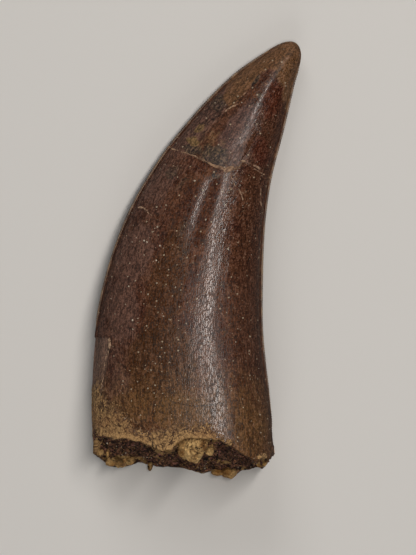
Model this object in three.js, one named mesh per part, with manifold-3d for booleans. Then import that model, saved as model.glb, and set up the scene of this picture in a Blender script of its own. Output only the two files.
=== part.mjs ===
// A fossil tooth crown of a large meat-eating dinosaur, 92 mm from its broken base to its worn tip.
// It lies on its flatter tongue side with the cheek side up. It is one natural piece, so it is one solid:
// a curved, flattened cone with two cutting edges, a mended break below the tip, and a ragged broken base
// with lumps of sandstone still cemented to it.
//
// Millimetres. +X points to the back cutting edge, +Y to the tip and +Z up from the table.
// The origin is on the table, at the middle of the outline.
import * as THREE from "three";
import { mergeVertices } from "three/addons/utils/BufferGeometryUtils.js";
import Module from "manifold-3d";

// ---------------------------------------------------------------- driving dimensions

// Stations up the crown, from below the base (0) to the tip (9). front and back are the two ends of the
// section, at the cutting edges. edgeZ is the height of those edges above the table, rise is how far the
// cheek face stands above them, and drop is how far the tongue face hangs below them.
const STATIONS = [
  { front: [-21.4, -46.0], back: [16.7, -46.0], edgeZ: 8.6, rise: 12.4, drop: 8.9 },
  { front: [-22.1, -30.0], back: [15.5, -30.0], edgeZ: 8.3, rise: 12.5, drop: 8.6 },
  { front: [-21.3, -16.0], back: [14.0, -16.0], edgeZ: 7.8, rise: 12.1, drop: 8.1 },
  { front: [-18.8, -3.0], back: [13.9, -4.0], edgeZ: 7.2, rise: 11.2, drop: 7.5 },
  { front: [-14.0, 10.2], back: [14.4, 7.6], edgeZ: 6.4, rise: 9.9, drop: 6.7 },
  { front: [-7.1, 21.9], back: [15.8, 17.4], edgeZ: 5.6, rise: 8.3, drop: 5.8 },
  { front: [0.5, 31.4], back: [18.0, 26.0], edgeZ: 4.8, rise: 6.7, drop: 4.8 },
  { front: [7.9, 38.9], back: [19.75, 33.2], edgeZ: 4.1, rise: 5.2, drop: 3.9 },
  { front: [14.2, 43.5], back: [21.1, 38.6], edgeZ: 3.6, rise: 4.1, drop: 3.1 },
  { front: [19.3, 47.7], back: [23.5, 43.1], edgeZ: 3.1, rise: 3.2, drop: 2.5 },
];
const TIP = STATIONS.length - 1;
const TIP_ROUNDING = { from: 7.75, power: 2.8 };

// The section: 1 is an ellipse, and more is a lens with sharper cutting edges.
const LENS = { atBase: 1.0, atTip: 1.25 };
const RIDGE_SHIFT = 0.24; // how far behind the middle the cheek face is highest, in half widths
const CARINA = { height: 0.45, halfAngle: 0.1, from: 0.6, to: 8.8 }; // the raised line on each cutting edge

// The mended break, as [place across, station]. Above this line the cheek face has lost its outer skin
// and steps down, and the step dies out towards the tip.
const BREAK = {
  line: [[-1, 5.15], [-0.5, 5.1], [0, 4.96], [0.4, 5.01], [0.45, 5.19], [1, 4.97]],
  step: [-0.03, 0.05], // stations from its foot to its head
  depth: 0.5,
  fade: 0.8,
};
// The front of the tip has lost its skin too, in front of this line of [station, place across].
const SPALL = {
  line: [[5.3, -0.85], [5.96, -0.53], [6.5, -0.3], [7.4, -0.31], [7.9, -0.19], [8.4, 1]],
  depth: 0.3,
};
// A shallow furrow runs down the cheek face in front of its ridge, and dies out below.
const FURROW = { across: 0.1, halfWidth: 0.13, depth: 0.4, from: 2.8, to: 4.9 };
// A strip has flaked off along the front edge near the base, with a step at its upper end.
const FLAKE = { line: [[0, -0.93], [1.1, -0.9], [1.7, -0.84], [2, -0.82]], depth: 0.4, to: 2 };

// The ragged rim of the broken base, as [place across, Y], on the cheek side and on the tongue side.
const CHEEK_RIM = [
  [-1, -40.6], [-0.985, -38], [-0.95, -36.9], [-0.74, -37.6], [-0.63, -37.4], [-0.4, -38.7],
  [-0.21, -40], [-0.06, -38.6], [0.09, -37.2], [0.32, -37.5], [0.45, -37.9], [0.63, -40.3],
  [0.79, -42.1], [0.89, -41.5], [0.96, -41.8], [1, -40.9],
];
const TONGUE_RIM = [
  [-1, -40.6], [-0.96, -41.3], [-0.9, -42.2], [-0.81, -43.5], [-0.71, -43.7], [-0.6, -43.3],
  [-0.48, -42.6], [-0.32, -43.5], [-0.03, -43.8], [0.2, -45.1], [0.3, -44.6], [0.34, -45.4],
  [0.58, -45.2], [0.63, -44.3], [0.72, -44.1], [0.8, -43.7], [0.87, -43.9], [0.96, -41.8], [1, -40.9],
];
const WALL = 0.14; // share of the way in from the rim that is hard tooth wall
const RECESS = 0.9; // how far the spongy inside is worn in behind the wall
const CRUMBLE = 0.4; // how far the spongy inside is thrown in and out

// Lumps of sandstone and broken tooth that still stick to the base: middle, half sizes and roughness.
const LUMPS = [
  { at: [-0.7, -39.3, 16.8], half: [3.0, 2.8, 3.6], rough: 0.14, detail: 4 }, // porous, in the middle
  { at: [3.0, -39.5, 15.2], half: [0.9, 1.5, 1.4], rough: 0.12, detail: 1 },
  { at: [6.9, -44.2, 2.9], half: [2.0, 1.75, 2.5], rough: 0.12, detail: 2 }, // furthest from the tip
  { at: [-19.8, -40.0, 7.9], half: [1.2, 1.3, 1.8], rough: 0.12, detail: 2 }, // front corner
  { at: [-17.4, -41.9, 5.4], half: [1.5, 1.6, 2.0], rough: 0.14, detail: 2 },
  { at: [14.2, -42.2, 8.2], half: [1.3, 1.4, 2.2], rough: 0.12, detail: 2 }, // back corner
  { at: [-9.8, -43.0, 1.6], half: [0.5, 1.5, 1.0], rough: 0.1, detail: 1 }, // splinter
];

// Mesh density.
const COLUMNS = 84; // round the crown
const BASE_ROWS = 8; // from the rim to the middle of the broken base
const ROWS_TO_BREAK = 20;
const ROWS_TO_TIP = 20;

// ---------------------------------------------------------------- small functions

const clamp = (value, low, high) => Math.min(high, Math.max(low, value));
const mix = (a, b, t) => a + (b - a) * t;

// Goes smoothly from 0 at `from` to 1 at `to`.
function smooth(from, to, value) {
  const t = clamp((value - from) / (to - from), 0, 1);
  return t * t * (3 - 2 * t);
}

// A Catmull-Rom curve through values at 0, 1, 2, ..., which goes on straight past its ends.
function splineAt(values, place) {
  const last = values.length - 1;
  const start = Math.min(Math.floor(place), last - 1);
  const t = place - start;
  const b = values[start];
  const c = values[start + 1];
  const a = start > 0 ? values[start - 1] : 2 * b - c;
  const d = start + 2 <= last ? values[start + 2] : 2 * c - b;
  return b + 0.5 * t * (c - a + t * (2 * a - 5 * b + 4 * c - d + t * (3 * b - 3 * c + d - a)));
}

// Straight lines through [place, value] pairs, level past both ends.
function lineAt(pairs, place) {
  const next = pairs.findIndex((pair) => pair[0] > place);
  if (next < 0) return pairs.at(-1)[1];
  if (next === 0) return pairs[0][1];
  const [[x0, y0], [x1, y1]] = [pairs[next - 1], pairs[next]];
  return mix(y0, y1, (place - x0) / (x1 - x0));
}

// ---------------------------------------------------------------- the crown's surface

const along = {
  frontX: STATIONS.map((s) => s.front[0]),
  frontY: STATIONS.map((s) => s.front[1]),
  backX: STATIONS.map((s) => s.back[0]),
  backY: STATIONS.map((s) => s.back[1]),
  edgeZ: STATIONS.map((s) => s.edgeZ),
  rise: STATIONS.map((s) => s.rise),
  drop: STATIONS.map((s) => s.drop),
};

// The section at a station: its middle, its direction to the back edge, its half width and its heights.
function sectionAt(station) {
  const front = new THREE.Vector2(splineAt(along.frontX, station), splineAt(along.frontY, station));
  const back = new THREE.Vector2(splineAt(along.backX, station), splineAt(along.backY, station));
  const t = clamp((station - TIP_ROUNDING.from) / (TIP - TIP_ROUNDING.from), 0, 1);
  const cap = Math.sqrt(1 - t ** TIP_ROUNDING.power);
  return {
    middle: front.clone().add(back).multiplyScalar(0.5),
    toBack: back.clone().sub(front).normalize(),
    halfWidth: (cap * front.distanceTo(back)) / 2,
    edgeZ: splineAt(along.edgeZ, station),
    rise: splineAt(along.rise, station) * cap,
    drop: splineAt(along.drop, station) * cap,
    lens: mix(LENS.atBase, LENS.atTip, station / TIP),
  };
}

// The place across the section at an angle round it: -1 at the front edge and 1 at the back edge.
const acrossAt = (angle) => Math.cos(angle) + RIDGE_SHIFT * Math.max(0, Math.sin(angle)) ** 2;

// How far the raised line on the cutting edges stands out at a station.
const carinaAt = (station) =>
  CARINA.height * smooth(CARINA.from, CARINA.from + 1, station) * smooth(CARINA.to, CARINA.to - 1, station);

// How far the cheek face is worn down at a place, by the break, the lost skin, the furrow and the flake.
function wearAt(station, across) {
  const pastBreak = station - lineAt(BREAK.line, across);
  const snapped = BREAK.depth * smooth(...BREAK.step, pastBreak) * smooth(BREAK.fade, 0.2, pastBreak);
  const pastSpall = across - lineAt(SPALL.line, station);
  const bare = smooth(0.1, 0.5, pastBreak) * smooth(TIP, TIP - 1.5, station);
  const spalled = SPALL.depth * bare * smooth(0.06, -0.06, pastSpall);
  const inFurrow = Math.exp(-(((across - FURROW.across) / FURROW.halfWidth) ** 2));
  const onset = smooth(FURROW.from, FURROW.from + 1.2, station);
  const furrowed = inFurrow * onset * smooth(FURROW.to, FURROW.to - 0.3, station);
  const pastFlake = across - lineAt(FLAKE.line, station);
  const flaked = FLAKE.depth * smooth(0.03, -0.03, pastFlake) * smooth(FLAKE.to, FLAKE.to - 0.06, station);
  return snapped + spalled + FURROW.depth * furrowed + flaked;
}

// A point on the crown. The tongue face is worn flat where it lies on the table.
function crownPoint(station, angle) {
  const { middle, toBack, halfWidth, edgeZ, rise, drop, lens } = sectionAt(station);
  const sine = Math.sin(angle);
  const across = acrossAt(angle);
  const carina = Math.min(carinaAt(station), halfWidth);
  const nearEdge = Math.max(0, 1 - Math.abs(Math.asin(sine)) / CARINA.halfAngle);
  const reach = across * (halfWidth - carina) + Math.sign(across) * nearEdge * carina;
  const height = (sine > 0 ? rise : -drop) * Math.abs(sine) ** lens;
  const worn = wearAt(station, across) * smooth(0, 0.3, sine);
  const z = Math.max(0, edgeZ + height - worn);
  return new THREE.Vector3(middle.x + toBack.x * reach, middle.y + toBack.y * reach, z);
}

// The station of the ragged rim at an angle round the section. Sections lie level near the base.
function rimStation(angle) {
  const rimY = lineAt(Math.sin(angle) > 0 ? CHEEK_RIM : TONGUE_RIM, acrossAt(angle));
  const [below, above] = STATIONS;
  return (rimY - below.front[1]) / (above.front[1] - below.front[1]);
}

// ---------------------------------------------------------------- the closed body

// A point on the broken base, at a share of the way in from the rim to the seam that joins the cheek half
// and the tongue half. The inside is worn in behind the wall and thrown in and out by crossed waves.
function basePoint(angle, share) {
  const rim = crownPoint(rimStation(angle), angle);
  const opposite = crownPoint(rimStation(-angle), -angle);
  const seam = rim.clone().add(opposite).multiplyScalar(0.5);
  const point = rim.clone().lerp(seam, share);
  const inside = smooth(WALL * 0.6, WALL * 2, share) * clamp(rim.distanceTo(seam) / 4, 0, 1);
  const waves = Math.sin(1.7 * point.x + 0.9 * point.z) + Math.sin(2.3 * point.z - 1.1 * point.x);
  point.y += inside * (RECESS + CRUMBLE * waves);
  return point;
}

// Stations from the rim to just below the tip, with a row on each side of the break's step, and closer
// together where the tip rounds off.
function stationsAbove(angle) {
  const rim = rimStation(angle);
  const line = lineAt(BREAK.line, acrossAt(angle));
  const [foot, head] = [line + BREAK.step[0], line + BREAK.step[1]];
  const toBreak = Array.from({ length: ROWS_TO_BREAK }, (_, i) => mix(rim, foot, i / (ROWS_TO_BREAK - 1)));
  const toTip = Array.from({ length: ROWS_TO_TIP }, (_, i) => {
    const t = i / ROWS_TO_TIP;
    return mix(head, TIP, mix(t, Math.sin((t * Math.PI) / 2), 0.5));
  });
  return [...toBreak, ...toTip];
}

// Rows of points round the crown, from the seam of the broken base out to its rim and up to the tip.
function toothBody() {
  const angles = Array.from({ length: COLUMNS }, (_, j) => (j / COLUMNS) * 2 * Math.PI);
  const rows = [];
  for (let i = BASE_ROWS; i > 0; i--) rows.push(angles.map((angle) => basePoint(angle, i / BASE_ROWS)));
  const stations = angles.map(stationsAbove);
  for (let i = 0; i < ROWS_TO_BREAK + ROWS_TO_TIP; i++) {
    rows.push(angles.map((angle, j) => crownPoint(stations[j][i], angle)));
  }
  rows.push(angles.map((angle) => crownPoint(TIP, angle)));
  const index = [];
  for (let i = 0; i + 1 < rows.length; i++) {
    for (let j = 0; j < COLUMNS; j++) {
      const k = (j + 1) % COLUMNS;
      const [low, high] = [i * COLUMNS, (i + 1) * COLUMNS];
      index.push(low + j, high + k, low + k, low + j, high + j, high + k);
    }
  }
  const geometry = new THREE.BufferGeometry().setFromPoints(rows.flat());
  geometry.setIndex(index);
  return geometry;
}

// A rough lump: a ball of small faces, pushed in and out by crossed waves and stretched to its size.
function lumpBody({ at, half, rough, detail }) {
  const geometry = new THREE.IcosahedronGeometry(1, detail);
  const positions = geometry.getAttribute("position");
  const [x, y, z] = at;
  for (let i = 0; i < positions.count; i++) {
    const point = new THREE.Vector3().fromBufferAttribute(positions, i);
    const crossed = Math.sin(5.1 * point.x + x) * Math.cos(4.3 * point.y + y);
    point.multiplyScalar(1 + rough * (crossed + Math.sin(6.7 * point.z + z)));
    point.multiply(new THREE.Vector3(...half)).add(new THREE.Vector3(x, y, z));
    positions.setXYZ(i, point.x, point.y, point.z);
  }
  return geometry;
}

// ---------------------------------------------------------------- joining

const wasm = await Module();
wasm.setup();

const MERGE_WITHIN = 1e-3;

function solidFrom(geometry) {
  geometry.deleteAttribute("normal");
  geometry.deleteAttribute("uv");
  const merged = mergeVertices(geometry, MERGE_WITHIN);
  const vertProperties = merged.getAttribute("position").array;
  const triVerts = new Uint32Array(merged.index.array);
  return new wasm.Manifold(new wasm.Mesh({ numProp: 3, vertProperties, triVerts }));
}

function geometryFrom(solid) {
  const { vertProperties, triVerts } = solid.getMesh();
  const geometry = new THREE.BufferGeometry();
  geometry.setAttribute("position", new THREE.BufferAttribute(vertProperties, 3));
  geometry.setIndex(new THREE.BufferAttribute(triVerts, 1));
  geometry.computeVertexNormals();
  return geometry;
}

let joined = solidFrom(toothBody());
for (const lump of LUMPS) joined = joined.add(solidFrom(lumpBody(lump)));

const enamel = new THREE.MeshStandardMaterial({ color: 0x4d3426, roughness: 0.42, metalness: 0 });
const tooth = new THREE.Mesh(geometryFrom(joined), enamel);
tooth.name = "tooth";

const fossil = new THREE.Group();
fossil.name = "fossil_tooth";
fossil.add(tooth);

export default fossil;
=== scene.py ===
import bpy
import numpy as np
from mathutils import Matrix


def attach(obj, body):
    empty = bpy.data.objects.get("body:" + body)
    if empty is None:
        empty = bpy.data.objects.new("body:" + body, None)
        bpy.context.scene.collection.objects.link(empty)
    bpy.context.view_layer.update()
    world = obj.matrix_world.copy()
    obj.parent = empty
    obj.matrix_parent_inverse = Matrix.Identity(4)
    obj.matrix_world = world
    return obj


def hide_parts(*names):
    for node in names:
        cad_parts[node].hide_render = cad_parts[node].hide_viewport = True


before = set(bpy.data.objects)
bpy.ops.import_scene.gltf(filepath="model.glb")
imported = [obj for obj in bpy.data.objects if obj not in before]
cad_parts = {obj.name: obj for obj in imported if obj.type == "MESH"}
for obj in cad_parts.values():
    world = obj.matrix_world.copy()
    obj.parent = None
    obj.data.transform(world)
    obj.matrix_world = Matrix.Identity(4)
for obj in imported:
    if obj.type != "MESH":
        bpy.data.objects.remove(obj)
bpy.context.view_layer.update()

# ------------------------------------------------------------------ crown below the break
# The main fragment of the crown: a curved, flattened cone of dentine under a skin of enamel, grown as one
# piece and since turned to dark brown stone. It lies on its tongue side with the cheek side up. The rim of
# the broken base is ragged, and the top ends at an old break. All sizes in this file are in millimetres.

MM = 0.001

# Stations up the crown, from below the base to the tip: the front and back ends of the section (x, y), the
# height of the cutting edges above the table, the rise of the cheek face above them and the drop of the
# tongue face below them. A place across a section runs from -1 at the front edge to 1 at the back edge.
STATIONS = np.array([
    [-21.4, -46.0, 16.7, -46.0, 8.6, 12.4, 8.9],
    [-22.1, -30.0, 15.5, -30.0, 8.3, 12.5, 8.6],
    [-21.3, -16.0, 14.0, -16.0, 7.8, 12.1, 8.1],
    [-18.8, -3.0, 13.9, -4.0, 7.2, 11.2, 7.5],
    [-14.0, 10.2, 14.4, 7.6, 6.4, 9.9, 6.7],
    [-7.1, 21.9, 15.8, 17.4, 5.6, 8.3, 5.8],
    [0.5, 31.4, 18.0, 26.0, 4.8, 6.7, 4.8],
    [7.9, 38.9, 19.75, 33.2, 4.1, 5.2, 3.9],
    [14.2, 43.5, 21.1, 38.6, 3.6, 4.1, 3.1],
    [19.3, 47.7, 23.5, 43.1, 3.1, 3.2, 2.5],
])
TIP = len(STATIONS) - 1
# Where the tip starts to round off, how far the cheek ridge is shifted to the back, and how far the skin
# reaches out in the cutting edges.
TIP_ROUNDING_FROM = 7.75
RIDGE_SHIFT = 0.24
CARINA_REACH = 0.45
# The blunt keel down the cheek face, where the skin turns away to the back, as (station, place across).
KEEL = np.array([
    (0.5, 0.6), (0.8, 0.57), (1.1, 0.5), (1.4, 0.44), (1.9, 0.43), (2.6, 0.42), (3.3, 0.34), (4.0, 0.29),
    (4.4, 0.26), (4.9, 0.26), (5.7, 0.29), (6.1, 0.22), (6.4, 0.2), (7.3, 0.18),
])

# The mended break (place across the crown, station) and the rims of the base (place across, y).
BREAK = [(-1, 5.15), (-0.5, 5.1), (0, 4.96), (0.4, 5.01), (0.45, 5.19), (1, 4.97)]
CHEEK_RIM = [
    (-1, -40.6), (-0.985, -38), (-0.95, -36.9), (-0.74, -37.6), (-0.63, -37.4), (-0.4, -38.7),
    (-0.22, -39.9), (-0.12, -39.7), (-0.06, -38.2), (0.02, -37.4), (0.32, -37.5), (0.45, -37.9),
    (0.63, -40.3), (0.79, -42.1), (0.89, -41.5), (0.96, -41.8), (1, -40.9),
]
TONGUE_RIM = [
    (-1, -40.6), (-0.96, -41.3), (-0.9, -42.2), (-0.81, -43.5), (-0.71, -43.7), (-0.6, -43.3),
    (-0.48, -42.6), (-0.32, -43.5), (-0.03, -43.8), (0.2, -45.1), (0.3, -44.6), (0.34, -45.4),
    (0.58, -45.2), (0.63, -44.3), (0.72, -44.1), (0.8, -43.7), (0.87, -43.9), (0.96, -41.8), (1, -40.9),
]


def smooth(low, high, value):
    """Goes from 0 at low to 1 at high along 3 t^2 - 2 t^3."""
    t = np.clip((value - low) / (high - low), 0, 1)
    return t * t * (3 - 2 * t)


def spline(rows, place):
    """A Catmull-Rom curve through rows at 0, 1, 2, ..., which goes on straight past its ends."""
    padded = np.vstack([2 * rows[0] - rows[1], rows, 2 * rows[-1] - rows[-2]])
    start = np.clip(np.floor(place).astype(int), 0, len(rows) - 2)
    t = (place - start)[..., None]
    a, b, c, d = (padded[start + i] for i in range(4))
    return b + 0.5 * t * (c - a + t * (2 * a - 5 * b + 4 * c - d + t * (3 * b - 3 * c + d - a)))


def across_at(angle):
    """The place across a section: cos of the angle, and on the cheek side a shift of the ridge by sin^2."""
    return np.cos(angle) + RIDGE_SHIFT * np.maximum(0, np.sin(angle)) ** 2


def past_keel(station, across):
    """How far a place across the crown lies behind the keel."""
    return across - np.interp(station, KEEL[:, 0], KEEL[:, 1])


def crown_point(station, angle):
    """The whole crown's skin: along the section's chord by `across`, and above or below its edges by a power
    of sin(angle) that goes from an ellipse at the base to a lens at the tip. The cheek face falls away
    behind the keel by drop (1 - exp(-fall / 0.15)), where fall is a softened distance past it, and bulges
    out at the back near the base. The tip is rounded off by the root of 1 - t^2.8. Returns the points, and
    the same points unrolled into a straight tooth."""
    values = spline(STATIONS, station)
    front, back = values[..., 0:2], values[..., 2:4]
    t = np.clip((station - TIP_ROUNDING_FROM) / (TIP - TIP_ROUNDING_FROM), 0, 1)
    cap = np.sqrt(1 - t**2.8)
    chord = back - front
    half_width = cap * np.linalg.norm(chord, axis=-1) / 2
    to_back = chord / np.linalg.norm(chord, axis=-1, keepdims=True)
    carina = np.minimum(CARINA_REACH * smooth(0.6, 1.6, station) * smooth(8.8, 7.8, station), half_width)
    sine = np.sin(angle)
    across = across_at(angle)
    near_edge = np.maximum(0, 1 - np.abs(np.arcsin(sine)) / 0.1)
    reach = across * (half_width - carina) + np.sign(across) * near_edge * carina
    lens = 1 + 0.25 * station / TIP
    height = np.where(sine > 0, values[..., 5], -values[..., 6]) * cap * np.abs(sine) ** lens
    from_keel = past_keel(station, across)
    front_rise = 0.06 * smooth(0.9, 2.6, station) * (1 - np.exp(-((np.minimum(from_keel, 0) / 0.4) ** 2)))
    crest = 0.035 + 0.025 * smooth(3, 4, station) + 0.02 * smooth(4.9, 5.4, station)
    fall = 0.5 * (np.hypot(from_keel, crest) + from_keel)
    drop = 0.42 + 0.3 * smooth(3, 4, station) - 0.14 * smooth(4.9, 5.4, station)
    keel = (front_rise - drop * (1 - np.exp(-fall / 0.15))) * smooth(0.3, 1, station)
    bulge = 0.8 * np.exp(-(((across - 0.62) / 0.35) ** 2)) * smooth(2.2, 0.6, station)
    height += (keel + bulge) * smooth(0, 0.6, sine)
    flat = (front + back) / 2 + to_back * reach[..., None]
    length = spline(CENTRE_LENGTH, station)[..., 0]
    points = np.concatenate([flat, (values[..., 4] + height)[..., None]], -1)
    return points, np.stack([reach, length, height], -1)


centres = (STATIONS[:, 0:2] + STATIONS[:, 2:4]) / 2
steps = np.linalg.norm(np.diff(centres, axis=0), axis=1)
CENTRE_LENGTH = np.concatenate([[0], np.cumsum(steps)])[:, None]


def noise(points, cell, seed):
    """Gradient noise from about -1 to 1: each corner of a lattice of this cell size has a random slope, and
    the slopes' heights are blended across the cell by t^3 (6 t^2 - 15 t + 10)."""
    rng = np.random.default_rng(seed)
    shuffle = rng.permutation(256)
    slopes = rng.normal(size=(256, 3))
    slopes /= np.linalg.norm(slopes, axis=1, keepdims=True)
    places = points / cell
    corner = np.floor(places).astype(int)
    inside = places - corner
    blend = inside**3 * (inside * (inside * 6 - 15) + 10)
    total = np.zeros(points.shape[:-1])
    for offset in np.ndindex(2, 2, 2):
        at = (corner + offset) & 255
        pick = shuffle[(shuffle[at[..., 0]] + at[..., 1]) & 255]
        pick = shuffle[(pick + at[..., 2]) & 255]
        weight = np.where(offset, blend, 1 - blend).prod(-1)
        total += weight * (slopes[pick] * (inside - offset)).sum(-1)
    return 1.6 * total


def layered(points, cell, seed, layers=4):
    """Sums noise over layers, each with half the cell and half the height of the one before."""
    return sum(noise(points, cell / 2**i, seed + i) / 2**i for i in range(layers))


def away_from_line(x, y, line):
    """The distance from each point to a broken line, seen from above: the least over its straight pieces."""
    nearest = np.full(x.shape, np.inf)
    for (x0, y0), (x1, y1) in zip(line, line[1:]):
        run, climb = x1 - x0, y1 - y0
        t = np.clip(((x - x0) * run + (y - y0) * climb) / (run**2 + climb**2), 0, 1)
        nearest = np.minimum(nearest, np.hypot(x - x0 - t * run, y - y0 - t * climb))
    return nearest


def inside_outline(x, y, outline):
    """The distance from each point to a closed outline, positive inside by the even-odd rule."""
    crossings = np.zeros(x.shape, int)
    closed = [*outline, outline[0]]
    for (x0, y0), (x1, y1) in zip(closed, closed[1:]):
        spans = (y0 > y) != (y1 > y)
        where = x0 + (y - y0) * (x1 - x0) / (y1 - y0 if y1 != y0 else 1)
        crossings += spans & (x < where)
    return np.where(crossings % 2 == 1, 1, -1) * away_from_line(x, y, closed)


def spot(x, y, centre, size, turn=0):
    """A soft oval: 1 in the middle, falling to 0 past its two half sizes, turned by some degrees."""
    c, s = np.cos(np.radians(turn)), np.sin(np.radians(turn))
    u = (c * (x - centre[0]) + s * (y - centre[1])) / size[0]
    v = (c * (y - centre[1]) - s * (x - centre[0])) / size[1]
    return smooth(1.25, 0.6, np.hypot(u, v))


def spots(x, y, rows):
    """The greatest of several spots, each given as its strength, centre, half sizes and turn."""
    return np.maximum.reduce([strength * spot(x, y, *row) for strength, *row in rows])


def outward(rows):
    """Unit normals of a closed skin: the cross product of its steps along and round, turned to face away
    from the middle of each row."""
    along = np.gradient(rows, axis=0)
    around = np.roll(rows, -1, 1) - np.roll(rows, 1, 1)
    normal = np.cross(around, along)
    normal /= np.maximum(np.linalg.norm(normal, axis=-1, keepdims=True), 1e-9)
    away = rows - rows.mean(1, keepdims=True)
    return normal * np.sign((normal * away).sum())


def loft(name, rows, marks={}):
    """Makes one mesh of closed skins. rows is (skins, rows, columns, xyz) in mm, or (rows, columns, xyz) for
    one skin: each row runs round its skin, and a fan at each end meets at the row's middle. Nothing reaches
    below the table at z = 0. Faces are turned outwards by the sign of the first skin's volume. marks are
    numbers or vectors kept at the points, by name."""
    rows = rows.reshape((-1,) + rows.shape[-3:])
    skins, count, columns = rows.shape[:3]
    rows = np.maximum(rows, (-np.inf, -np.inf, 0))
    ends = rows[:, [0, -1]].mean(2)
    points = np.concatenate([rows.reshape(skins, -1, 3), ends], 1) * MM
    here = np.arange(count * columns).reshape(count, columns)
    beside = np.roll(here, -1, 1)
    quads = np.stack([here[:-1], beside[:-1], beside[1:], here[1:]], -1).reshape(-1, 4)
    low, high = np.full(columns, count * columns), np.full(columns, count * columns + 1)
    fans = np.concatenate([
        np.stack([low, beside[0], here[0]], -1),
        np.stack([high, here[-1], beside[-1]], -1),
    ])
    triangles = points[0, np.concatenate([quads[:, :3], quads[:, [0, 2, 3]], fans])]
    if (np.cross(triangles[:, 0], triangles[:, 1]) * triangles[:, 2]).sum() < 0:
        quads, fans = quads[:, ::-1], fans[:, ::-1]
    shift = (np.arange(skins) * points.shape[1])[:, None, None]
    quads, fans = (quads + shift).reshape(-1, 4), (fans + shift).reshape(-1, 3)
    mesh = bpy.data.meshes.new(name)
    mesh.vertices.add(skins * points.shape[1])
    mesh.vertices.foreach_set("co", points.ravel())
    mesh.loops.add(quads.size + fans.size)
    mesh.loops.foreach_set("vertex_index", np.concatenate([quads.ravel(), fans.ravel()]))
    starts = np.concatenate([np.arange(len(quads)) * 4, quads.size + np.arange(len(fans)) * 3])
    mesh.polygons.add(len(starts))
    mesh.polygons.foreach_set("loop_start", starts)
    mesh.update(calc_edges=True)
    mesh.shade_smooth()
    for mark, values in marks.items():
        vector = values.ndim == 3 + (skins > 1)
        values = values.reshape((skins, count, columns) + (3,) * vector)
        both_ends = values[:, [0, -1]].mean(2)
        flat = np.concatenate([values.reshape((skins, -1) + (3,) * vector), both_ends], 1)
        layer = mesh.attributes.new(mark, "FLOAT_VECTOR" if vector else "FLOAT", "POINT")
        layer.data.foreach_set("vector" if vector else "value", flat.ravel())
    piece = bpy.data.objects.new(name, mesh)
    bpy.context.scene.collection.objects.link(piece)
    return piece


def round_angles(cheek, tongue):
    """Angles round a section as one row: so many evenly over the cheek face, then over the tongue face."""
    return np.concatenate([
        np.arange(cheek) / cheek * np.pi,
        np.pi + np.arange(tongue) / tongue * np.pi,
    ])[None, :]


def line_station(angle):
    """The station of the mended break at an angle round the crown."""
    return np.interp(across_at(angle), *zip(*BREAK))


def rim_station(angle):
    """The station of the ragged base rim, whose y is 16 mm a station so near the base. The rim is chipped by
    noise along an oval of the base's half sizes."""
    cheek = np.interp(across_at(angle), *zip(*CHEEK_RIM))
    tongue = np.interp(across_at(angle), *zip(*TONGUE_RIM))
    round_rim = np.stack([19 * np.cos(angle), 12 * np.sin(angle), 0 * angle], -1)
    rim = np.where(np.sin(angle) > 0, cheek, tongue) + 0.35 * layered(round_rim, 2, 13, 3)
    return (rim - STATIONS[0, 1]) / (STATIONS[1, 1] - STATIONS[0, 1])


def pitted(points, count, sizes, seed):
    """The depth of small craters at seeded points of a skin: each is a smooth bowl, a fifth as deep as it is
    wide, with its radius between the two sizes."""
    rng = np.random.default_rng(seed)
    flat = points.reshape(-1, 3)
    depth = np.zeros(len(flat))
    for centre, size in zip(flat[rng.integers(len(flat), size=count)], rng.uniform(*sizes, count)):
        away = np.linalg.norm(flat - centre, axis=1)
        depth = np.maximum(depth, 0.4 * size * smooth(size, 0, away))
    return depth.reshape(points.shape[:-1])


def folded(rows, at_base, at_top):
    """Adds two rows inside each end, each drawn in towards the end row's middle by a share and moved along y
    by a rise, so that the skin closes out of sight."""
    below, above = (
        [row + (row.mean(0) - row) * share + (0, rise, 0) for share, rise in folds]
        for row, folds in ((rows[0], at_base), (rows[-1], at_top))
    )
    return np.concatenate([below[::-1], rows, above])


def held(values):
    """Marks for folded rows: each end's marks are kept two rows further."""
    return np.concatenate([values[:1], values[:1], values, values[-1:], values[-1:]])


def behind_keel(station, across):
    """1 on the face behind the keel, where the skin is worn smoothest, falling to 0 on the keel."""
    return smooth(0.02, 0.09, past_keel(station, across))


CROWN_ROWS = 294
angle = round_angles(cheek=190, tongue=120)
share = np.linspace(0, 1, CROWN_ROWS)[:, None]
base_station = rim_station(angle)
station = base_station + (line_station(angle) - base_station) * share
crown, unrolled = crown_point(station, angle)
across = across_at(angle) + 0 * station
cheek = smooth(0, 0.25, np.sin(angle)) + 0 * station
x = crown[..., 0] + 0.7 * layered(crown, 3, 11, 3)
y = crown[..., 1] + 0.7 * layered(crown, 3, 12, 3)

# The sandstone film: its outline over the front corner of the base and along the cheek rim, past which it
# thins out upwards. It also has two spots on the back part of the rim, and patches on the tongue side.
FILM = [
    (-23, -26.9), (-21, -26.5), (-20.2, -28.1), (-19.3, -29.8), (-18.3, -31.3), (-16.8, -32.3),
    (-15.8, -33.6), (-14.5, -34.9), (-13.2, -36.1), (-11.8, -37), (-10.1, -37.2), (-8.4, -37),
    (-6.7, -36.5), (-3.8, -35.7), (-1.3, -35.5), (1.9, -35.5), (3.6, -36.6), (4.6, -37.8), (4.6, -48),
    (-24, -48),
]
above_rim = crown[..., 1] - crown[:1, :, 1]
film_depth = inside_outline(x, y, FILM)
film_cheek = smooth(-3.2, 1.4, film_depth) + 0.2 * smooth(0, 2.5, film_depth)
film_stain = spots(x, y, [
    (1, (-2.7, -32), (7.5, 4.6)), (0.8, (-14, -31), (6, 4)), (0.75, (11, -36), (5, 8)),
])
film_stain = np.maximum(film_stain, 0.6 * smooth(-11, -31, y))
film_lip = spots(x, y, [(0.9, (6.5, -38.2), (1.2, 0.7)), (0.8, (14, -41), (1.2, 0.8))])
film_tongue = smooth(0.1, 0.5, noise(crown, 7, 15) + smooth(14, 0, above_rim) - 0.4)
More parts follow.
